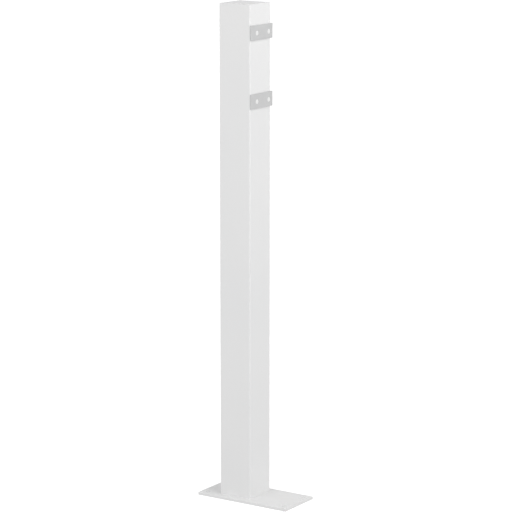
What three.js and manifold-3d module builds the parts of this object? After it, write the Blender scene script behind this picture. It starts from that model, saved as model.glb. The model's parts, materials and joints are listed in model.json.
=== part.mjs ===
// Charger post: a square steel tube standing on a rectangular foot plate, with two
// perforated strips on its front face that carry a wall-type charge point.
// Millimetres, +Z up. Origin: centre of the foot plate's underside.
// -Y is the front (the face with the strips), +Y the rear.
import * as THREE from 'three';
import { mergeVertices } from 'three/addons/utils/BufferGeometryUtils.js';
import Module from 'manifold-3d';

const wasm = await Module();
wasm.setup();

// ---------------------------------------------------------------- dimensions
const GAP = 0.3;                // clearance between touching pieces
const TOTAL_H = 1380;           // floor to top of the post

const PLATE_L = 292;            // foot plate along Y
const PLATE_W = 142;            // foot plate along X
const PLATE_T = 8;
const PLATE_R = 2;              // corner radius
const ANCHOR_X = 50;            // half spacing of the anchor holes
const ANCHOR_Y = 125;
const ANCHOR_D = 14;
const ENTRY_D = 50;             // cable entry through the plate

const TUBE = 100;               // outside width of the square tube
const WALL = 3;
const TUBE_R = 3;               // outside corner radius
const TUBE_RI = 0.8;            // inside corner radius
const POST_Y = 34;              // post centre behind the plate centre
const TUBE_Z0 = PLATE_T + GAP;

const CAP_T = 3.5;              // flush cap plate
const CAP_SKIRT = 24;           // depth of the skirt under the cap plate
const CAP_SIDE = TUBE - 2 * WALL - 2 * GAP;

const STRIP_W = 106.5;           // strip along X
const STRIP_X = 3.15;           // its middle: one end flush with the tube, the other past it
const STRIP_H = 40.5;
const STRIP_T = 2.5;
const STRIP_R = 0.5;
const STRIP_Z = { upper: 1303.2, lower: 1118.2 };
const STRIP_HOLE_D = 14;
const STRIP_HOLE_X = [-19, 38.3];
const STRIP_HOLE_DROP = 1.6;    // hole centres below the strip's middle

const PIN_D = 6.4;              // shank of the push-in caps that close the strips' holes
const BARB_D = 8.6;

const FIX_X = [-36, 12];        // two M5 studs welded to the back of each strip
const FIX_D = 5;
const FIX_END = 10.2;           // end of the stud behind the tube's front face
const FIX_WASHER_D = 10;        // washer on the inner face of the wall
const FIX_WASHER_T = 1;
const FIX_NUT_AF = 8;
const FIX_NUT_H = 4;

const OUTLET_Z = 1211;          // cable outlet in the rear wall
const OUTLET_D = 32;
const OUTLET_BORE = 22;
const ENTRY_BORE = 40;

const STUD_Z = 1318;            // earth stud on the inner right wall
const STUD_D = 6;
const STUD_L = 24;

const FRONT_Y = POST_Y - TUBE / 2;      // outer front face of the tube
const REAR_Y = POST_Y + TUBE / 2;       // outer rear face
const STRIP_Y1 = FRONT_Y - GAP;         // back of the strips
const STRIP_Y0 = STRIP_Y1 - STRIP_T;    // front of the strips

// ------------------------------------------------------------------ helpers
function solid(geometry) {
  const g = geometry.index ? geometry.toNonIndexed() : geometry.clone();
  g.deleteAttribute('normal');
  g.deleteAttribute('uv');
  const m = mergeVertices(g, 1e-4);
  return new wasm.Manifold(new wasm.Mesh({
    numProp: 3,
    vertProperties: new Float32Array(m.attributes.position.array),
    triVerts: new Uint32Array(m.index.array),
  }));
}

function geometryOf(manifold) {
  const mesh = manifold.getMesh();
  const g = new THREE.BufferGeometry();
  g.setAttribute('position', new THREE.BufferAttribute(new Float32Array(mesh.vertProperties), 3));
  g.setIndex(new THREE.BufferAttribute(new Uint32Array(mesh.triVerts), 1));
  g.computeVertexNormals();
  return g;
}

// Closed outline of a rectangle with rounded corners, centred on (cx, cy).
function roundedRect(target, w, h, r, segs, cx = 0, cy = 0, clockwise = false) {
  const pts = [];
  const corners = [[1, 1, 0], [-1, 1, 1], [-1, -1, 2], [1, -1, 3]];
  for (const [sx, sy, q] of corners) {
    for (let i = 0; i <= segs; i++) {
      const a = (q + i / segs) * Math.PI / 2;
      pts.push(new THREE.Vector2(
        cx + sx * (w / 2 - r) + r * Math.cos(a),
        cy + sy * (h / 2 - r) + r * Math.sin(a)));
    }
  }
  if (clockwise) pts.reverse();
  target.setFromPoints(pts);
  return target;
}

function circle(r, cx, cy, segs) {
  const pts = [];
  for (let i = 0; i < segs; i++) {
    const a = -i / segs * Math.PI * 2;
    pts.push(new THREE.Vector2(cx + r * Math.cos(a), cy + r * Math.sin(a)));
  }
  return new THREE.Path().setFromPoints(pts);
}

function extrude(shape, depth) {
  return new THREE.ExtrudeGeometry(shape, { depth, bevelEnabled: false, curveSegments: 1 });
}

// Cylinder along Y from y0 to y1 at (x, z).
function cylinderY(r, y0, y1, x, z, segs) {
  const g = new THREE.CylinderGeometry(r, r, y1 - y0, segs);
  g.translate(x, (y0 + y1) / 2, z);
  return g;
}

// Profile of [radius, height] pairs turned about Z, closed on itself or on the axis.
function lathe(profile, segs) {
  return new THREE.LatheGeometry(profile.map(([r, h]) => new THREE.Vector2(r, h)), segs);
}

// Hexagonal nut with a plain hole, its axis along +Y from y = 0.
function hexNut(acrossFlats, height, hole, segs) {
  const hex = new THREE.Shape();
  for (let i = 0; i < 6; i++) {
    const a = i * Math.PI / 3, R = acrossFlats / Math.sqrt(3);
    if (i === 0) hex.moveTo(R * Math.cos(a), R * Math.sin(a));
    else hex.lineTo(R * Math.cos(a), R * Math.sin(a));
  }
  hex.closePath();
  hex.holes.push(circle(hole, 0, 0, segs));
  const nut = extrude(hex, height);
  nut.rotateX(-Math.PI / 2);                // extrusion along +Y, like the lathes
  return nut;
}

const group = new THREE.Group();
function add(name, geometry, material) {
  const mesh = new THREE.Mesh(geometry, material.clone());
  mesh.name = name;
  group.add(mesh);
  return mesh;
}

// ---------------------------------------------------------------- materials
const powderCoat = new THREE.MeshStandardMaterial({ color: 0xe9eae9, roughness: 0.55, metalness: 0.0 });
const capPlastic = new THREE.MeshStandardMaterial({ color: 0xe6e7e6, roughness: 0.6, metalness: 0.0 });
const whiteNylon = new THREE.MeshStandardMaterial({ color: 0xe9eae9, roughness: 0.5, metalness: 0.0 });
const stripGrey = new THREE.MeshStandardMaterial({ color: 0xc6c7c7, roughness: 0.5, metalness: 0.4 });
const blackRubber = new THREE.MeshStandardMaterial({ color: 0x1c1c1c, roughness: 0.8, metalness: 0.0 });
const zinc = new THREE.MeshStandardMaterial({ color: 0xb9bcc0, roughness: 0.35, metalness: 0.9 });

// --------------------------------------------------------------- foot plate
{
  const shape = roundedRect(new THREE.Shape(), PLATE_W, PLATE_L, PLATE_R, 5);
  for (const sx of [-1, 1]) for (const sy of [-1, 1]) {
    shape.holes.push(circle(ANCHOR_D / 2, sx * ANCHOR_X, sy * ANCHOR_Y, 40));
  }
  shape.holes.push(circle(ENTRY_D / 2, 0, POST_Y, 56));
  add('base_plate', extrude(shape, PLATE_T), powderCoat);
}

// --------------------------------------------------------------- square tube
{
  const shape = roundedRect(new THREE.Shape(), TUBE, TUBE, TUBE_R, 6, 0, POST_Y);
  const inner = TUBE - 2 * WALL;
  shape.holes.push(roundedRect(new THREE.Path(), inner, inner, TUBE_RI, 3, 0, POST_Y, true));
  const g = extrude(shape, TOTAL_H - TUBE_Z0);
  g.translate(0, 0, TUBE_Z0);
  let tube = solid(g);
  // clearance holes for the strips' studs and for the caps' shanks
  for (const z of Object.values(STRIP_Z)) {
    for (const x of FIX_X) {
      tube = tube.subtract(solid(cylinderY(FIX_D / 2 + GAP, FRONT_Y - 2, FRONT_Y + WALL + 2, x, z, 24)));
    }
    for (const x of STRIP_HOLE_X) {
      tube = tube.subtract(solid(cylinderY(PIN_D / 2 + GAP, FRONT_Y - 2, FRONT_Y + WALL + 2, x, z - STRIP_HOLE_DROP, 28)));
    }
  }
  // rear cable outlet
  tube = tube.subtract(solid(cylinderY(OUTLET_D / 2, REAR_Y - WALL - 2, REAR_Y + 2, 0, OUTLET_Z, 48)));
  add('post_tube', geometryOf(tube), powderCoat);
}

// ------------------------------------------------- flush cap, pressed in the tube
{
  const z1 = TOTAL_H, z0 = TOTAL_H - CAP_T;
  const plate = extrude(roundedRect(new THREE.Shape(), CAP_SIDE, CAP_SIDE, 0.9, 4, 0, POST_Y), CAP_T);
  plate.translate(0, 0, z0);
  const skirtOut = CAP_SIDE - 6, skirtIn = skirtOut - 5;
  const ring = roundedRect(new THREE.Shape(), skirtOut, skirtOut, 3, 4, 0, POST_Y);
  ring.holes.push(roundedRect(new THREE.Path(), skirtIn, skirtIn, 1, 3, 0, POST_Y, true));
  const skirt = extrude(ring, CAP_SKIRT + 0.5);
  skirt.translate(0, 0, z0 - CAP_SKIRT);
  let cap = solid(plate).add(solid(skirt));
  // three tapered grip fins on each side of the skirt
  for (let side = 0; side < 4; side++) for (const t of [-26, 0, 26]) {
    const fin = new THREE.Shape();
    // (outward, height) profile: full reach under the plate, running in at the foot
    fin.moveTo(skirtOut / 2 - 1, z0 + 0.5);
    fin.lineTo(skirtOut / 2 - 1, z0 - 21);
    fin.lineTo(skirtOut / 2 + 0.4, z0 - 21);
    fin.lineTo(CAP_SIDE / 2 - 0.1, z0 - 14);
    fin.lineTo(CAP_SIDE / 2 - 0.1, z0 + 0.5);
    fin.closePath();
    const g = extrude(fin, 2.4);
    g.rotateX(Math.PI / 2);                 // profile height to +Z, depth along -Y
    g.translate(0, t + 1.2, 0);
    g.rotateZ(side * Math.PI / 2);
    g.translate(0, POST_Y, 0);
    cap = cap.add(solid(g));
  }
  // cross web under the cap plate
  for (const [w, l] of [[skirtIn + 2, 2], [2, skirtIn + 2]]) {
    const web = new THREE.BoxGeometry(w, l, 6.5);
    web.translate(0, POST_Y, z0 - 6.5 / 2 + 0.5);
    cap = cap.add(solid(web));
  }
  add('top_cap', geometryOf(cap), capPlastic);
}

// ------------------------------- perforated strips, their hidden fixings and hole caps
for (const [level, z] of Object.entries(STRIP_Z)) {
  const shape = roundedRect(new THREE.Shape(), STRIP_W, STRIP_H, STRIP_R, 4, STRIP_X, 0);
  for (const x of STRIP_HOLE_X) shape.holes.push(circle(STRIP_HOLE_D / 2, x, -STRIP_HOLE_DROP, 48));
  const strip = extrude(shape, STRIP_T);
  strip.rotateX(Math.PI / 2);               // shape Y to +Z, depth along -Y
  strip.translate(0, STRIP_Y1, z);
  add(`${level}_bracket`, strip, stripGrey);

  FIX_X.forEach((x, i) => {
    const side = i === 0 ? 'left' : 'right';
    const r = FIX_D / 2, hole = r + GAP;
    // depths are measured back from the tube's front face
    const stud = lathe([[0, 0], [r, 0], [r, FIX_END - 0.6], [r - 0.6, FIX_END], [0, FIX_END]], 28);
    stud.translate(x, FRONT_Y, z);
    add(`${level}_bracket_stud_${side}`, stud, zinc);
    let y = WALL + GAP;
    const washer = lathe([[hole, y], [FIX_WASHER_D / 2, y], [FIX_WASHER_D / 2, y + FIX_WASHER_T],
      [hole, y + FIX_WASHER_T], [hole, y]], 32);
    washer.translate(x, FRONT_Y, z);
    add(`${level}_bracket_washer_${side}`, washer, zinc);
    y += FIX_WASHER_T + GAP;
    const nut = hexNut(FIX_NUT_AF, FIX_NUT_H, hole, 24);
    nut.translate(x, FRONT_Y + y, z);
    add(`${level}_bracket_nut_${side}`, nut, zinc);
  });

  // push-in caps: a flat head in the strip's hole, a barbed shank through the tube's wall
  STRIP_HOLE_X.forEach((x, i) => {
    const side = i === 0 ? 'left' : 'right';
    const head = STRIP_HOLE_D / 2 - GAP, pin = PIN_D / 2, barb = BARB_D / 2;
    const inner = STRIP_T + GAP + WALL + GAP; // just behind the wall, from the strip's front
    const cap = lathe([[0, 0.1], [head, 0.1], [head, STRIP_T], [pin, STRIP_T], [pin, inner],
      [barb, inner + 0.2], [barb, inner + 0.9], [pin - 1, inner + 3], [0, inner + 3]], 40);
    cap.translate(x, STRIP_Y0, z - STRIP_HOLE_DROP);
    add(`${level}_bracket_hole_cap_${side}`, cap, whiteNylon);
  });
}

// ---------------------------------------------------- rubber grommet in the foot plate
{
  const ro = ENTRY_D / 2 - GAP, ri = ENTRY_BORE / 2;
  // U section round the hole's rim, all above the floor
  const p = [
    [ri, 1.2], [ro, 1.2], [ro, PLATE_T + GAP], [ro + 4, PLATE_T + GAP], [ro + 4, PLATE_T + 2.2],
    [ro + 3, PLATE_T + 3], [ri + 1, PLATE_T + 3], [ri, PLATE_T + 2.2], [ri, 1.2]];
  const g = lathe(p, 56);
  g.rotateX(Math.PI / 2);                   // lathe axis Y to Z
  g.translate(0, POST_Y, 0);
  add('base_cable_grommet', g, blackRubber);
}

// ------------------------------------------------------- rubber grommet in the rear wall
{
  const rn = OUTLET_D / 2 - GAP, rf = OUTLET_D / 2 + 4, ri = OUTLET_BORE / 2;
  const yi = REAR_Y - WALL - GAP, yo = REAR_Y + GAP;
  const p = [
    [ri, yi - 2], [rf - 1, yi - 2], [rf, yi - 1], [rf, yi], [rn, yi], [rn, yo], [rf, yo],
    [rf, yo + 1.4], [rf - 1.2, yo + 2.4], [ri + 1.2, yo + 2.4], [ri, yo + 1.4], [ri, yi - 2]];
  const g = lathe(p, 48);
  g.translate(0, 0, OUTLET_Z);
  add('cable_outlet_grommet', g, blackRubber);
}

// --------------------------------------------------------------- earth bonding stud
// Stands on the inner right wall near the top, where it is reached with the cap out.
{
  const wallX = TUBE / 2 - WALL;
  const turn = (g) => {                     // lathe axis Y to -X, foot on the wall
    g.rotateZ(Math.PI / 2);
    g.translate(wallX - GAP, POST_Y, STUD_Z);
    return g;
  };
  const r = STUD_D / 2;
  add('earth_stud', turn(lathe([[0, 0], [6, 0], [6, 1], [5, 1.8], [r, 1.8], [r, STUD_L - 0.8],
    [r - 0.8, STUD_L], [0, STUD_L]], 32)), zinc);
  const hole = r + GAP;
  let h = 1.8 + GAP;
  add('earth_washer_inner', turn(lathe([[hole, h], [6.25, h], [6.25, h + 1.6], [hole, h + 1.6], [hole, h]], 32)), zinc);
  h += 1.6 + GAP;
  add('earth_washer_outer', turn(lathe([[hole, h], [6.25, h], [6.25, h + 1.6], [hole, h + 1.6], [hole, h]], 32)), zinc);
  h += 1.6 + GAP;
  const nut = hexNut(10, 5, hole, 28);
  nut.translate(0, h, 0);
  add('earth_nut', turn(nut), zinc);
}

export default group;
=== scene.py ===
# Charger post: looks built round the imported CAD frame. Metres, +Z up, -Y is the front.
import json
import math

import bmesh
import bpy
from mathutils import Matrix, Vector, geometry


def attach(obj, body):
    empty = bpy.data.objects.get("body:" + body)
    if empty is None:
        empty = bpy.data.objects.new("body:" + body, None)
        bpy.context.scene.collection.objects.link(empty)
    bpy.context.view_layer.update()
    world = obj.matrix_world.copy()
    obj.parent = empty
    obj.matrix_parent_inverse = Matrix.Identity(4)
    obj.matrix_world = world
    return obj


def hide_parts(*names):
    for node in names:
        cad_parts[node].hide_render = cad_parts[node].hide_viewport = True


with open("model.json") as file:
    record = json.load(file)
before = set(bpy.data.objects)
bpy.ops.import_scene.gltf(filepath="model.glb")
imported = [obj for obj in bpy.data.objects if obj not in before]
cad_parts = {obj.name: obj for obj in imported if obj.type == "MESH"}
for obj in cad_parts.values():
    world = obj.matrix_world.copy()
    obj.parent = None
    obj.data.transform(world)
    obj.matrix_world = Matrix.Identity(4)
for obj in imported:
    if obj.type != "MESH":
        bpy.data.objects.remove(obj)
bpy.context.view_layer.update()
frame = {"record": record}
MM = 0.001

# ------------------------------------------------------------------ camera
YAW, PITCH = 0.5855, 0.19487
fwd = Vector((math.cos(YAW) * math.cos(PITCH), math.sin(YAW) * math.cos(PITCH), -math.sin(PITCH)))
cam_data = bpy.data.cameras.new("camera")
cam_data.sensor_width = 36.0
cam_data.lens = 165.32
cam_data.clip_start, cam_data.clip_end = 0.05, 60
cam_data.dof.use_dof = False
cam = bpy.data.objects.new("camera", cam_data)
bpy.context.scene.collection.objects.link(cam)
cam.location = (-5.2715, -3.4975, 1.9359)
right = Vector((math.sin(YAW), -math.cos(YAW), 0))
up = right.cross(fwd)
cam.matrix_world = Matrix(((right.x, up.x, -fwd.x, cam.location.x),
                           (right.y, up.y, -fwd.y, cam.location.y),
                           (right.z, up.z, -fwd.z, cam.location.z),
                           (0, 0, 0, 1)))
bpy.context.scene.camera = cam

# ------------------------------------------------------- dimensions (mm, as in the CAD)
TOTAL_H = 1380
PLATE_L, PLATE_W, PLATE_T, PLATE_R = 292, 142, 8, 2
ANCHOR_X, ANCHOR_Y, ANCHOR_D = 50, 125, 14
ENTRY_D = 50
TUBE, WALL, TUBE_R, TUBE_RI, POST_Y = 100, 3, 3, 0.8, 34
GAP = 0.3
WELD = 1.4                      # leg of the weld round the tube's foot
TUBE_Z0 = PLATE_T + GAP
CAP_T, CAP_SKIRT = 3.5, 24
CAP_SIDE = TUBE - 2 * WALL - 2 * GAP
STRIP_W, STRIP_X, STRIP_H, STRIP_T, STRIP_R = 106.5, 3.15, 40.5, 2.5, 0.5
STRIP_Z = {"upper": 1303.2, "lower": 1118.2}
STRIP_HOLE_D, STRIP_HOLE_X, STRIP_HOLE_DROP = 14, (-19, 38.3), 1.6
PIN_D, BARB_D = 6.4, 8.6
FIX_X, FIX_D, FIX_END = (-36, 12), 5, 10.2
FIX_WASHER_D, FIX_WASHER_T, FIX_NUT_AF, FIX_NUT_H = 10, 1, 8, 4
OUTLET_Z, OUTLET_D, OUTLET_BORE, ENTRY_BORE = 1211, 32, 22, 40
STUD_Z, STUD_D, STUD_L = 1318, 6, 24
FRONT_Y, REAR_Y = POST_Y - TUBE / 2, POST_Y + TUBE / 2
STRIP_Y1 = FRONT_Y - GAP
STRIP_Y0 = STRIP_Y1 - STRIP_T


# ------------------------------------------------------------------ mesh tools
def rrect(w, h, r, n, cx=0.0, cy=0.0):
    """Counter-clockwise outline of a rectangle with rounded corners."""
    pts = []
    for sx, sy, q in ((1, 1, 0), (-1, 1, 1), (-1, -1, 2), (1, -1, 3)):
        for i in range(n + 1):
            a = (q + i / n) * math.pi / 2
            pts.append((cx + sx * (w / 2 - r) + r * math.cos(a), cy + sy * (h / 2 - r) + r * math.sin(a)))
    return pts


def ring(r, n, cx=0.0, cy=0.0, phase=0.0):
    return [(cx + r * math.cos(phase + 2 * math.pi * i / n), cy + r * math.sin(phase + 2 * math.pi * i / n))
            for i in range(n)]


def edge_rings(shape, z0, z1, b0, b1, n=4):
    """Rings of an edge that is rounded by b0 at z0 and b1 at z1. shape(d) gives the outline set in by d."""
    rings = []
    for k in range(n + 1):
        a = math.pi / 2 * (1 - k / n)
        rings.append((z0 + b0 * (1 - math.sin(a)), shape(b0 * (1 - math.cos(a)))) if b0 else (z0, shape(0)))
        if not b0:
            break
    for k in range(n + 1):
        a = math.pi / 2 * k / n
        rings.append((z1 - b1 * (1 - math.sin(a)), shape(b1 * (1 - math.cos(a)))) if b1 else (z1, shape(0)))
        if not b1:
            break
    return rings


def new_object(name, bm, sharp_deg=38):
    bmesh.ops.remove_doubles(bm, verts=bm.verts, dist=1e-7)
    bmesh.ops.recalc_face_normals(bm, faces=bm.faces)
    limit = math.radians(sharp_deg)
    for f in bm.faces:
        f.smooth = True
    for e in bm.edges:
        if len(e.link_faces) == 2 and e.calc_face_angle(0) > limit:
            e.smooth = False
    me = bpy.data.meshes.new(name)
    bm.to_mesh(me)
    bm.free()
    ob = bpy.data.objects.new(name, me)
    bpy.context.scene.collection.objects.link(ob)
    wn = ob.modifiers.new("normals", "WEIGHTED_NORMAL")
    wn.keep_sharp = True
    wn.mode = "FACE_AREA"
    wn.weight = 100
    return ob


def slab(bm, outlines, place):
    """A plate with holes. outlines: lists of (z, points) rings, the outside one first. place maps (x, y, z) in mm to metres."""
    firsts, lasts = [], []
    for rings in outlines:
        rows = [[bm.verts.new(place(x, y, z)) for x, y in pts] for z, pts in rings]
        for a, b in zip(rows, rows[1:]):
            n = len(a)
            for i in range(n):
                bm.faces.new((a[i], a[(i + 1) % n], b[(i + 1) % n], b[i]))
        firsts.append(rows[0])
        lasts.append(rows[-1])
    for loops, level in ((firsts, 0), (lasts, -1)):
        flat = [[Vector((x, y, 0)) for x, y in rings[level][1]] for rings in outlines]
        verts = [v for loop in loops for v in loop]
        for tri in geometry.tessellate_polygon(flat):
            a, b, c = (verts[i] for i in tri)
            if len({a, b, c}) == 3:
                try:
                    bm.faces.new((a, b, c))
                except ValueError:
                    pass


def lathe_rings(bm, profile, n, place, closed=False):
    """Turned piece. profile: (radius, height) pairs; place maps (x, y, height) to metres."""
    rows = []
    for r, h in profile:
        if r < 1e-6:
            rows.append([bm.verts.new(place(0, 0, h))])
        else:
            rows.append([bm.verts.new(place(r * math.cos(2 * math.pi * i / n), r * math.sin(2 * math.pi * i / n), h))
                         for i in range(n)])
    pairs = list(zip(rows, rows[1:])) + ([(rows[-1], rows[0])] if closed else [])
    for a, b in pairs:
        for i in range(n):
            j = (i + 1) % n
            if len(a) == 1 and len(b) == 1:
                continue
            if len(a) == 1:
                bm.faces.new((a[0], b[j], b[i]))
            elif len(b) == 1:
                bm.faces.new((a[i], a[j], b[0]))
            else:
                bm.faces.new((a[i], a[j], b[j], b[i]))


def soften(profile, radius, n=3, closed=False):
    """Rounds the corners of a profile by radius, less where a side is short."""
    pts = [Vector(p) for p in profile]
    m = len(pts)
    out = []
    for i, p in enumerate(pts):
        if not closed and i in (0, m - 1):
            out.append(tuple(p))
            continue
        a, b = pts[(i - 1) % m] - p, pts[(i + 1) % m] - p
        if a.length < 1e-9 or b.length < 1e-9:
            continue
        turn = math.pi - a.angle(b)
        if turn < 0.15:
            out.append(tuple(p))
            continue
        cut = min(radius * math.tan(turn / 2), a.length * 0.45, b.length * 0.45)
        s, e = p + a.normalized() * cut, p + b.normalized() * cut
        for k in range(n + 1):
            t = k / n
            q = s * (1 - t) ** 2 + p * 2 * t * (1 - t) + e * t * t
            out.append(tuple(q))
    return out


def upright(x, y, z):
    return Vector((x * MM, y * MM, z * MM))


def cut(ob, cutters):
    """Cuts the cutters out of ob and keeps the result in its mesh."""
    for c in cutters:
        m = ob.modifiers.new("cut", "BOOLEAN")
        m.operation, m.solver, m.object = "DIFFERENCE", "EXACT", c
        while ob.modifiers[0] != m:
            with bpy.context.temp_override(object=ob):
                bpy.ops.object.modifier_move_up(modifier=m.name)
        with bpy.context.temp_override(object=ob, active_object=ob):
            bpy.ops.object.modifier_apply(modifier=m.name)
    for c in cutters:
        me = c.data
        bpy.data.objects.remove(c)
        bpy.data.meshes.remove(me)


def cylinder_y(r, y0, y1, x, z, n):
    bm = bmesh.new()
    lathe_rings(bm, [(0, y0), (r, y0), (r, y1), (0, y1)], n, lambda a, b, h: Vector(((x + a) * MM, h * MM, (z + b) * MM)))
    return new_object("cutter", bm)


def stand_for(ob, node, material):
    ob.data.materials.clear()
    ob.data.materials.append(material)
    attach(ob, frame_body[node])
    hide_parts(node)


def join_rows(bm, rows, loop=False):
    """Skins rows of vertices; a row of one vertex is a tip."""
    n = max(len(r) for r in rows)
    for a, b in list(zip(rows, rows[1:])) + ([(rows[-1], rows[0])] if loop else []):
        for i in range(n):
            j = (i + 1) % n
            if len(a) == 1:
                bm.faces.new((a[0], b[j], b[i]))
            elif len(b) == 1:
                bm.faces.new((a[i], a[j], b[0]))
            else:
                bm.faces.new((a[i], a[j], b[j], b[i]))


def threaded_rod(place, h0, h1, r, pitch, plain, foot=None):
    """Stud with a real helical thread from h0 + plain to its tip at h1; foot is a profile that comes before it."""
    bm = bmesh.new()
    n, deep = 36, 0.52 * pitch

    def row(rr, h):
        return [bm.verts.new(place(rr * math.cos(2 * math.pi * i / n), rr * math.sin(2 * math.pi * i / n), h)) for i in range(n)]

    rows = [[bm.verts.new(place(0, 0, h0))]]
    if foot:
        for rr, h in soften([(0, h0)] + foot, 0.3, 3)[1:]:
            rows.append(row(rr, h))
    else:
        rows.append(row(r - 0.1, h0))
        rows.append(row(r, h0 + 0.1))
    start = h0 + plain
    steps = int((h1 - start) / pitch * 10)
    for k in range(steps + 1):
        h = start + (h1 - 0.05 - start) * k / steps
        fade = min(1.0, (h - start) / (0.8 * pitch))
        tip = max(0.0, (h - (h1 - 0.8 * pitch - 0.2)) / (0.8 * pitch))
        ringv = []
        for i in range(n):
            a = 2 * math.pi * i / n
            groove = abs((h / pitch - i / n) % 1.0 - 0.5) * 2
            rr = r - 0.02 - deep * fade * max(0.0, min(1.0, groove * 1.2 - 0.1)) - 0.75 * pitch * tip
            ringv.append(bm.verts.new(place(rr * math.cos(a), rr * math.sin(a), h)))
        rows.append(ringv)
    rows.append([bm.verts.new(place(0, 0, h1))])
    join_rows(bm, rows)
    return bm


def flat_ring(place, ro, hole, h0, h1):
    """Stamped washer with its edges broken."""
    bm = bmesh.new()
    b = min(0.25, (h1 - h0) * 0.22)
    slab(bm, [edge_rings(lambda d: ring(ro - d, 64), h0, h1, b, b, 3),
              edge_rings(lambda d: ring(hole + d, 64), h0, h1, b * 0.6, b * 0.6, 2)], place)
    return bm


def chamfered_nut(place, af, height, hole, h0):
    """Hex nut with the cone chamfer at both faces and a countersunk bore."""
    bm = bmesh.new()
    n = 96

    def row(radius, h):
        return [bm.verts.new(place(radius(2 * math.pi * i / n) * math.cos(2 * math.pi * i / n),
                                   radius(2 * math.pi * i / n) * math.sin(2 * math.pi * i / n), h)) for i in range(n)]

    def hex_r(a):
        return af / 2 / math.cos((a % (math.pi / 3)) - math.pi / 6)

    steps = (0.0, 0.12, 0.25, 0.38, 0.5, 0.65, 0.8)
    levels = [(h0 + x, x) for x in steps] + [(h0 + height / 2, 2.5)] + [(h0 + height - x, x) for x in reversed(steps)]
    rows = []
    for h, x in levels:
        cone = af / 2 * 0.955 + x / math.tan(math.radians(30))
        rows.append(row(lambda a, cone=cone: min(hex_r(a), cone), h))
    for rr, h in ((hole + 0.35, h0 + height), (hole, h0 + height - 0.35), (hole, h0 + 0.35), (hole + 0.35, h0)):
        rows.append(row(lambda a, rr=rr: rr, h))
    join_rows(bm, rows, loop=True)
    return bm


frame_body = {n: b for b, ns in frame["record"]["behaviour"]["bodies"].items() for n in ns}


# ------------------------------------------------------------------ materials
class Nodes:
    def __init__(self, name):
        self.mat = bpy.data.materials.new(name)
        self.mat.use_nodes = True
        self.t = self.mat.node_tree
        self.bsdf = self.t.nodes["Principled BSDF"]
        self.coord = self.t.nodes.new("ShaderNodeTexCoord").outputs["Object"]

    def link(self, a, b):
        self.t.links.new(a, b)

    def stretch(self, sx, sy, sz):
        n = self.t.nodes.new("ShaderNodeMapping")
        n.inputs["Scale"].default_value = (sx, sy, sz)
        self.link(self.coord, n.inputs["Vector"])
        return n.outputs["Vector"]

    def noise(self, scale, detail=3.0, rough=0.5, vector=None, distortion=0.0):
        n = self.t.nodes.new("ShaderNodeTexNoise")
        n.inputs["Scale"].default_value = scale
        n.inputs["Detail"].default_value = detail
        n.inputs["Roughness"].default_value = rough
        n.inputs["Distortion"].default_value = distortion
        self.link(vector or self.coord, n.inputs["Vector"])
        return n.outputs["Fac"]

    def voronoi(self, scale, feature="F1", vector=None):
        n = self.t.nodes.new("ShaderNodeTexVoronoi")
        n.feature = feature
        n.inputs["Scale"].default_value = scale
        self.link(vector or self.coord, n.inputs["Vector"])
        return n.outputs["Distance"]

    def remap(self, value, a, b, lo, hi):
        n = self.t.nodes.new("ShaderNodeMapRange")
        n.inputs["From Min"].default_value = a
        n.inputs["From Max"].default_value = b
        n.inputs["To Min"].default_value = lo
        n.inputs["To Max"].default_value = hi
        self.link(value, n.inputs["Value"])
        return n.outputs["Result"]

    def math(self, op, a, b=None):
        n = self.t.nodes.new("ShaderNodeMath")
        n.operation = op
        for i, v in enumerate((a, b)):
            if v is None:
                continue
            if isinstance(v, (int, float)):
                n.inputs[i].default_value = v
            else:
                self.link(v, n.inputs[i])
        return n.outputs[0]

    def mix(self, fac, a, b):
        n = self.t.nodes.new("ShaderNodeMix")
        n.data_type = "RGBA"
        ins = [s for s in n.inputs if s.type == "RGBA"]
        if isinstance(fac, (int, float)):
            n.inputs[0].default_value = fac
        else:
            self.link(fac, n.inputs[0])
        for s, v in zip(ins, (a, b)):
            if isinstance(v, tuple):
                s.default_value = (*v, 1)
            else:
                self.link(v, s)
        return [s for s in n.outputs if s.type == "RGBA"][0]

    def bump(self, height, strength, distance, normal=None):
        n = self.t.nodes.new("ShaderNodeBump")
        n.inputs["Strength"].default_value = strength
        n.inputs["Distance"].default_value = distance
        self.link(height, n.inputs["Height"])
        if normal is not None:
            self.link(normal, n.inputs["Normal"])
        return n.outputs["Normal"]

    def height(self):
        s = self.t.nodes.new("ShaderNodeSeparateXYZ")
        self.link(self.coord, s.inputs[0])
        return s.outputs["Z"]

    def out(self, color=None, rough=None, normal=None, metallic=0.0, specular=None, coat=None):
        if color is not None:
            self.link(color, self.bsdf.inputs["Base Color"])
        if rough is not None:
            self.link(rough, self.bsdf.inputs["Roughness"])
        if normal is not None:
            self.link(normal, self.bsdf.inputs["Normal"])
        self.bsdf.inputs["Metallic"].default_value = metallic
        if specular is not None:
            self.bsdf.inputs["Specular IOR Level"].default_value = specular
        return self.mat


def grey(v, warm=0.0):
    return (v * (1 + warm), v, v * (1 - warm))


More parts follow.
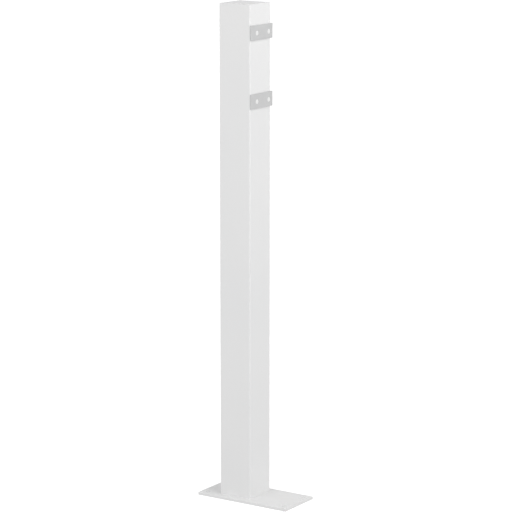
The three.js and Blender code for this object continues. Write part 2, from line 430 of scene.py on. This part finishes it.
def powder_coat():
    m = Nodes("white_powder_coat")
    cloud = m.remap(m.noise(2.6, 2.0), 0.3, 0.7, 0.0, 1.0)
    base = m.mix(cloud, grey(0.79, -0.003), grey(0.81, 0.002))
    # thin spots and specks in the powder film
    specks = m.remap(m.noise(900, 1.0), 0.62, 0.78, 0.0, 0.35)
    base = m.mix(specks, base, grey(0.75, 0.004))
    # a trace of dust that settles low on the post and on the foot plate
    low = m.remap(m.height(), 0.0, 0.06, 1.0, 0.0)
    dust = m.math("MULTIPLY", low, m.remap(m.noise(38, 4.0, 0.6), 0.42, 0.72, 0.0, 0.10))
    base = m.mix(dust, base, (0.60, 0.585, 0.56))
    peel = m.noise(620, 2.0, 0.45)
    wave = m.noise(85, 1.5, 0.5)
    n1 = m.bump(peel, 0.22, 0.00012)
    n2 = m.bump(wave, 0.10, 0.0004, n1)
    rough = m.math("ADD", m.remap(m.noise(14, 3.0), 0.3, 0.7, 0.42, 0.52), m.remap(peel, 0.3, 0.7, -0.03, 0.03))
    return m.out(base, rough, n2, 0.0, 0.5)


def cap_plastic():
    m = Nodes("white_plastic")
    cloud = m.remap(m.noise(7, 2.0), 0.3, 0.7, 0.0, 1.0)
    base = m.mix(cloud, grey(0.765, -0.002), grey(0.785, 0.003))
    scuffs = m.noise(160, 3.0, 0.6, m.stretch(1.0, 0.12, 1.0))
    base = m.mix(m.remap(scuffs, 0.62, 0.8, 0.0, 0.18), base, grey(0.70, 0.004))
    grain = m.voronoi(1500)
    n = m.bump(grain, 0.18, 0.00012)
    n = m.bump(m.noise(60, 1.0), 0.08, 0.0005, n)
    rough = m.math("ADD", m.remap(scuffs, 0.3, 0.7, 0.50, 0.60), m.remap(grain, 0.0, 0.6, -0.03, 0.03))
    return m.out(base, rough, n, 0.0, 0.45)


def white_nylon():
    m = Nodes("white_nylon")
    cloud = m.remap(m.noise(55, 2.0), 0.3, 0.7, 0.0, 1.0)
    base = m.mix(cloud, grey(0.79, 0.0), grey(0.81, 0.003))
    swirl = m.noise(240, 3.0, 0.55, None, 0.4)
    n = m.bump(swirl, 0.10, 0.0002)
    n = m.bump(m.voronoi(2600), 0.12, 0.00008, n)
    rough = m.remap(swirl, 0.3, 0.7, 0.40, 0.52)
    return m.out(base, rough, n, 0.0, 0.5)


def strip_grey():
    m = Nodes("grey_strip")
    cloud = m.remap(m.noise(22, 3.0, 0.55), 0.3, 0.7, 0.0, 1.0)
    base = m.mix(cloud, grey(0.540, -0.004), grey(0.570, -0.002))
    lines = m.noise(900, 2.0, 0.5, m.stretch(0.02, 1.0, 1.0))
    base = m.mix(m.remap(lines, 0.55, 0.8, 0.0, 0.22), base, grey(0.60, -0.002))
    fine = m.noise(1100, 1.0)
    n = m.bump(lines, 0.14, 0.00010)
    n = m.bump(fine, 0.10, 0.00008, n)
    rough = m.math("ADD", m.remap(m.noise(35, 3.0), 0.3, 0.7, 0.40, 0.50), m.remap(lines, 0.3, 0.7, -0.05, 0.05))
    return m.out(base, rough, n, 0.0, 0.5)


def black_rubber():
    m = Nodes("black_rubber")
    cloud = m.remap(m.noise(90, 4.0, 0.6), 0.3, 0.75, 0.0, 1.0)
    base = m.mix(cloud, grey(0.022), grey(0.042, 0.02))
    n = m.bump(m.noise(1400, 2.0), 0.25, 0.00008)
    n = m.bump(m.noise(160, 2.0), 0.12, 0.0003, n)
    rough = m.remap(m.noise(60, 4.0), 0.3, 0.7, 0.62, 0.82)
    return m.out(base, rough, n, 0.0, 0.35)


def zinc_plated():
    m = Nodes("zinc_plated")
    flakes = m.voronoi(520)
    base = m.mix(m.remap(flakes, 0.0, 0.7, 0.0, 1.0), (0.60, 0.62, 0.66), (0.74, 0.75, 0.76))
    iris = m.remap(m.noise(120, 3.0), 0.45, 0.75, 0.0, 0.35)
    base = m.mix(iris, base, (0.70, 0.66, 0.52))
    n = m.bump(m.noise(1300, 2.0), 0.15, 0.00006)
    rough = m.remap(m.noise(260, 3.0), 0.3, 0.7, 0.22, 0.42)
    return m.out(base, rough, n, 0.95, 0.5)


WHITE, CAP, NYLON, STRIP, RUBBER, ZINC = powder_coat(), cap_plastic(), white_nylon(), strip_grey(), black_rubber(), zinc_plated()

# ------------------------------------------------------------------ foot plate
bm = bmesh.new()
outlines = [edge_rings(lambda d: rrect(PLATE_W - 2 * d, PLATE_L - 2 * d, PLATE_R - d * 0.6, 8), 0, PLATE_T, 0.5, 0.9)]
for sx in (-1, 1):
    for sy in (-1, 1):
        outlines.append(edge_rings(lambda d, sx=sx, sy=sy: ring(ANCHOR_D / 2 + d, 56, sx * ANCHOR_X, sy * ANCHOR_Y),
                                   0, PLATE_T, 0.4, 1.0, 6))
outlines.append(edge_rings(lambda d: ring(ENTRY_D / 2 + d, 72, 0, POST_Y), 0, PLATE_T, 0.2, 0.2, 2))
slab(bm, outlines, upright)
plate = new_object("foot_plate", bm)
stand_for(plate, "base_plate", WHITE)

# ------------------------------------------------------------------ square tube
bm = bmesh.new()
inner = TUBE - 2 * WALL
wall = edge_rings(lambda d: rrect(TUBE - 2 * d, TUBE - 2 * d, TUBE_R - d * 0.5, 12, 0, POST_Y), TUBE_Z0, TOTAL_H, 0, 0.5)
# the painted weld runs out from the wall onto the plate
weld = [(PLATE_T + 0.08 + WELD * (1 - math.cos(a)),
         rrect(TUBE + 2 * WELD * (1 - math.sin(a)), TUBE + 2 * WELD * (1 - math.sin(a)), TUBE_R + WELD * (1 - math.sin(a)), 12, 0, POST_Y))
        for a in (math.pi / 2 * k / 6 for k in range(7))]
outlines = [
    weld + wall[1:],
    edge_rings(lambda d: rrect(inner + 2 * d, inner + 2 * d, TUBE_RI + d, 6, 0, POST_Y), TUBE_Z0, TOTAL_H, 0.15, 0.3, 3)]
slab(bm, outlines, upright)
tube = new_object("square_tube", bm)
cutters = [cylinder_y(FIX_D / 2 + GAP, FRONT_Y - 2, FRONT_Y + WALL + 2, x, z, 32)
           for z in STRIP_Z.values() for x in FIX_X]
cutters += [cylinder_y(PIN_D / 2 + GAP, FRONT_Y - 2, FRONT_Y + WALL + 2, x, z - STRIP_HOLE_DROP, 36)
            for z in STRIP_Z.values() for x in STRIP_HOLE_X]
cutters.append(cylinder_y(OUTLET_D / 2, REAR_Y - WALL - 2, REAR_Y + 2, 0, OUTLET_Z, 64))
cut(tube, cutters)
stand_for(tube, "post_tube", WHITE)

# ------------------------------------------------------------------ strips
for level, zc in STRIP_Z.items():
    def place(x, y, z, zc=zc):
        return Vector((x * MM, (STRIP_Y1 - z) * MM, (zc + y) * MM))
    bm = bmesh.new()
    outlines = [edge_rings(lambda d: rrect(STRIP_W - 2 * d, STRIP_H - 2 * d, STRIP_R - d * 0.5, 6, STRIP_X, 0), 0, STRIP_T, 0.2, 0.3)]
    for x in STRIP_HOLE_X:
        outlines.append(edge_rings(lambda d, x=x: ring(STRIP_HOLE_D / 2 + d, 72, x, -STRIP_HOLE_DROP), 0, STRIP_T, 0.15, 0.12, 3))
    slab(bm, outlines, place)
    strip = new_object(f"{level}_strip", bm)
    stand_for(strip, f"{level}_bracket", STRIP)

    for i, x in enumerate(FIX_X):
        side = ("left", "right")[i]

        # a and b run across the stud, h back from the tube's front face
        def on_front(a, b, h, x=x, zc=zc):
            return Vector(((x + a) * MM, (FRONT_Y + h) * MM, (zc + b) * MM))

        hole = FIX_D / 2 + GAP
        stud = threaded_rod(on_front, 0, FIX_END, FIX_D / 2, 0.8, 1.2)
        stand_for(new_object(f"{level}_strip_stud_{side}", stud, 60), f"{level}_bracket_stud_{side}", ZINC)
        y = WALL + GAP
        washer = flat_ring(on_front, FIX_WASHER_D / 2, hole, y, y + FIX_WASHER_T)
        stand_for(new_object(f"{level}_strip_washer_{side}", washer), f"{level}_bracket_washer_{side}", ZINC)
        y += FIX_WASHER_T + GAP
        nut = chamfered_nut(on_front, FIX_NUT_AF, FIX_NUT_H, hole, y)
        stand_for(new_object(f"{level}_strip_nut_{side}", nut, 25), f"{level}_bracket_nut_{side}", ZINC)

    for i, x in enumerate(STRIP_HOLE_X):
        side = ("left", "right")[i]
        head, pin, barb, inner_y = STRIP_HOLE_D / 2 - GAP, PIN_D / 2, BARB_D / 2, STRIP_T + 2 * GAP + WALL
        # a barely crowned head with a broken edge, then the shank with its barb
        prof = [(0, 0.1), (head * 0.55, 0.12), (head - 0.5, 0.19), (head - 0.14, 0.27), (head, 0.42), (head, STRIP_T - 0.2),
                (head - 0.2, STRIP_T)] + soften([(head - 0.2, STRIP_T), (pin, STRIP_T), (pin, inner_y), (barb, inner_y + 0.2),
                                                 (barb, inner_y + 0.9), (pin - 1, inner_y + 3), (0, inner_y + 3)], 0.3, 3)[1:]
        bm = bmesh.new()
        lathe_rings(bm, prof, 64, lambda a, b, h, x=x, zc=zc: Vector(((x + a) * MM, (STRIP_Y0 + h) * MM, (zc - STRIP_HOLE_DROP + b) * MM)))
        stand_for(new_object(f"{level}_strip_hole_cap_{side}", bm), f"{level}_bracket_hole_cap_{side}", NYLON)

# ------------------------------------------------------------------ flush cap
bm = bmesh.new()
z1, z0 = TOTAL_H, TOTAL_H - CAP_T
slab(bm, [edge_rings(lambda d: rrect(CAP_SIDE - 2 * d, CAP_SIDE - 2 * d, 0.9 + d * 0.3, 8, 0, POST_Y), z0, z1, 0.2, 0.5)], upright)
cap = new_object("flush_cap", bm)
extra = []
skirt_out = CAP_SIDE - 6
skirt_in = skirt_out - 5
bm = bmesh.new()
slab(bm, [edge_rings(lambda d: rrect(skirt_out - 2 * d, skirt_out - 2 * d, 3, 8, 0, POST_Y), z0 - CAP_SKIRT, z0 + 0.5, 0.5, 0),
          edge_rings(lambda d: rrect(skirt_in + 2 * d, skirt_in + 2 * d, 1 + d, 5, 0, POST_Y), z0 - CAP_SKIRT, z0 + 0.5, 0.5, 0)], upright)
extra.append(new_object("skirt", bm))
for s in range(4):
    turn = Matrix.Rotation(s * math.pi / 2, 3, "Z")
    for t in (-26, 0, 26):
        prof = [(skirt_out / 2 - 1, z0 + 0.5), (skirt_out / 2 - 1, z0 - 21), (skirt_out / 2 + 0.4, z0 - 21),
                (CAP_SIDE / 2 - 0.1, z0 - 14), (CAP_SIDE / 2 - 0.1, z0 + 0.5)]
        bm = bmesh.new()
        rows = []
        for y in (-1.2, 1.2):
            rows.append([bm.verts.new((turn @ Vector((x, t + y, 0)) + Vector((0, POST_Y, h))) * MM) for x, h in prof])
        m = len(prof)
        for i in range(m):
            bm.faces.new((rows[0][i], rows[0][(i + 1) % m], rows[1][(i + 1) % m], rows[1][i]))
        bm.faces.new(rows[0])
        bm.faces.new(list(reversed(rows[1])))
        extra.append(new_object("fin", bm))
for w, l in ((skirt_in + 2, 2), (2, skirt_in + 2)):
    bm = bmesh.new()
    slab(bm, [[(z0 - 6, rrect(w, l, 0.3, 3, 0, POST_Y)), (z0 + 0.5, rrect(w, l, 0.3, 3, 0, POST_Y))]], upright)
    extra.append(new_object("web", bm))
for e in extra:
    m = cap.modifiers.new("join", "BOOLEAN")
    m.operation, m.solver, m.object = "UNION", "EXACT", e
    with bpy.context.temp_override(object=cap, active_object=cap):
        while cap.modifiers[0] != m:
            bpy.ops.object.modifier_move_up(modifier=m.name)
        bpy.ops.object.modifier_apply(modifier=m.name)
for e in extra:
    me = e.data
    bpy.data.objects.remove(e)
    bpy.data.meshes.remove(me)
stand_for(cap, "top_cap", CAP)

# ------------------------------------------------------------------ grommets
ro, ri = ENTRY_D / 2 - GAP, ENTRY_BORE / 2
prof = [(ri, 1.2), (ro, 1.2), (ro, PLATE_T + GAP), (ro + 4, PLATE_T + GAP), (ro + 4, PLATE_T + 2.2),
        (ro + 3, PLATE_T + 3), (ri + 1, PLATE_T + 3), (ri, PLATE_T + 2.2)]
bm = bmesh.new()
lathe_rings(bm, soften(prof, 0.8, 4, True), 96, lambda a, b, h: upright(a, POST_Y + b, h), closed=True)
stand_for(new_object("floor_cable_grommet", bm), "base_cable_grommet", RUBBER)

rn, rf, ri = OUTLET_D / 2 - GAP, OUTLET_D / 2 + 4, OUTLET_BORE / 2
yi, yo = REAR_Y - WALL - GAP, REAR_Y + GAP
prof = [(ri, yi - 2), (rf - 1, yi - 2), (rf, yi - 1), (rf, yi), (rn, yi), (rn, yo), (rf, yo), (rf, yo + 1.4),
        (rf - 1.2, yo + 2.4), (ri + 1.2, yo + 2.4), (ri, yo + 1.4)]
bm = bmesh.new()
lathe_rings(bm, soften(prof, 0.7, 4, True), 80, lambda a, b, h: Vector((a * MM, h * MM, (OUTLET_Z + b) * MM)), closed=True)
stand_for(new_object("rear_cable_grommet", bm), "cable_outlet_grommet", RUBBER)

# ------------------------------------------------------------------ earth stud and its stack
WALL_X = TUBE / 2 - WALL


def on_wall(a, b, h):
    return Vector(((WALL_X - GAP - h) * MM, (POST_Y + a) * MM, (STUD_Z + b) * MM))


r = STUD_D / 2
stud = threaded_rod(on_wall, 0, STUD_L, r, 1.0, 2.0, foot=[(6, 0), (6, 1), (5, 1.8), (r - 0.1, 1.8)])
stand_for(new_object("threaded_earth_stud", stud, 60), "earth_stud", ZINC)

hole = r + GAP
h = 1.8 + GAP
stand_for(new_object("flat_washer", flat_ring(on_wall, 6.25, hole, h, h + 1.6)), "earth_washer_inner", ZINC)
h += 1.6 + GAP


def teeth(d):
    pts = []
    count, per = 14, 8
    for i in range(count * per):
        a = 2 * math.pi * i / (count * per)
        t = (i % per) / per
        rr = 6.2 if 0.15 < t < 0.7 else 5.3
        pts.append(((rr - d) * math.cos(a), (rr - d) * math.sin(a)))
    return pts


bm = bmesh.new()
slab(bm, [edge_rings(teeth, h, h + 1.6, 0.1, 0.15, 2),
          edge_rings(lambda d: ring(hole + d, 64), h, h + 1.6, 0.15, 0.15, 2)], on_wall)
stand_for(new_object("toothed_washer", bm), "earth_washer_outer", ZINC)
h += 1.6 + GAP

stand_for(new_object("hex_nut", chamfered_nut(on_wall, 10, 5, hole, h), 25), "earth_nut", ZINC)

# ------------------------------------------------------------------ floor and light
bm = bmesh.new()
s = 14.0
corners = [bm.verts.new((x * s, y * s, 0)) for x, y in ((-1, -1), (1, -1), (1, 1), (-1, 1))]
bm.faces.new(corners)
floor = new_object("floor", bm)
fm = bpy.data.materials.new("pale_floor")
fm.use_nodes = True
fb = fm.node_tree.nodes["Principled BSDF"]
fb.inputs["Base Color"].default_value = (0.25, 0.25, 0.25, 1)
fb.inputs["Roughness"].default_value = 0.9
fb.inputs["Specular IOR Level"].default_value = 0.0
fb.inputs["Emission Color"].default_value = (1, 1, 1, 1)
fb.inputs["Emission Strength"].default_value = 0.97
floor.data.materials.append(fm)
floor.visible_diffuse = False

# a pale wall all round, seen by the camera only, so that it throws no light on the post
bm = bmesh.new()
foot = [bm.verts.new((13.5 * x, 13.5 * y, -0.01)) for x, y in ring(1, 64)]
head = [bm.verts.new((13.5 * x, 13.5 * y, 9)) for x, y in ring(1, 64)]
for i in range(64):
    bm.faces.new((foot[i], foot[(i + 1) % 64], head[(i + 1) % 64], head[i]))
backdrop = new_object("backdrop", bm)
backdrop.data.materials.append(fm)
backdrop.visible_diffuse = False
backdrop.visible_glossy = False
backdrop.visible_transmission = False
backdrop.visible_shadow = False

# studio light: a pale surround, brighter above the horizon than below it
SKY, GROUND = 0.706, 0.591
world = bpy.data.worlds.new("studio")
bpy.context.scene.world = world
world.use_nodes = True
wt = world.node_tree
bg = wt.nodes["Background"]
split = wt.nodes.new("ShaderNodeSeparateXYZ")
wt.links.new(wt.nodes.new("ShaderNodeTexCoord").outputs["Generated"], split.inputs[0])
grade = wt.nodes.new("ShaderNodeMapRange")
grade.interpolation_type = "SMOOTHSTEP"
grade.inputs["From Min"].default_value, grade.inputs["From Max"].default_value = -0.12, 0.12
grade.inputs["To Min"].default_value, grade.inputs["To Max"].default_value = GROUND, SKY
wt.links.new(split.outputs["Z"], grade.inputs["Value"])
wt.links.new(grade.outputs["Result"], bg.inputs["Strength"])
bg.inputs["Color"].default_value = (1, 1, 1, 1)


def area(name, loc, target, size, power):
    data = bpy.data.lights.new(name, "AREA")
    data.shape = "SQUARE"
    data.size = size
    data.energy = power
    ob = bpy.data.objects.new(name, data)
    bpy.context.scene.collection.objects.link(ob)
    ob.location = loc
    ob.rotation_mode = "QUATERNION"
    ob.rotation_quaternion = (Vector(target) - Vector(loc)).to_track_quat("-Z", "Y")
    ob.visible_camera = False
    return ob


area("front_box", (-0.3, -3.2, 1.5), (0, 0, 0.8), 1.6, 25.8)
area("left_box", (-3.2, 0.3, 1.5), (0, 0, 0.8), 1.6, 26.0)
area("front_key", (-0.1, -1.0, 2.5), (0, 0, 0.8), 0.5, 6.5)

bpy.context.scene.view_settings.view_transform = "Standard"
bpy.context.scene.view_settings.look = "None"
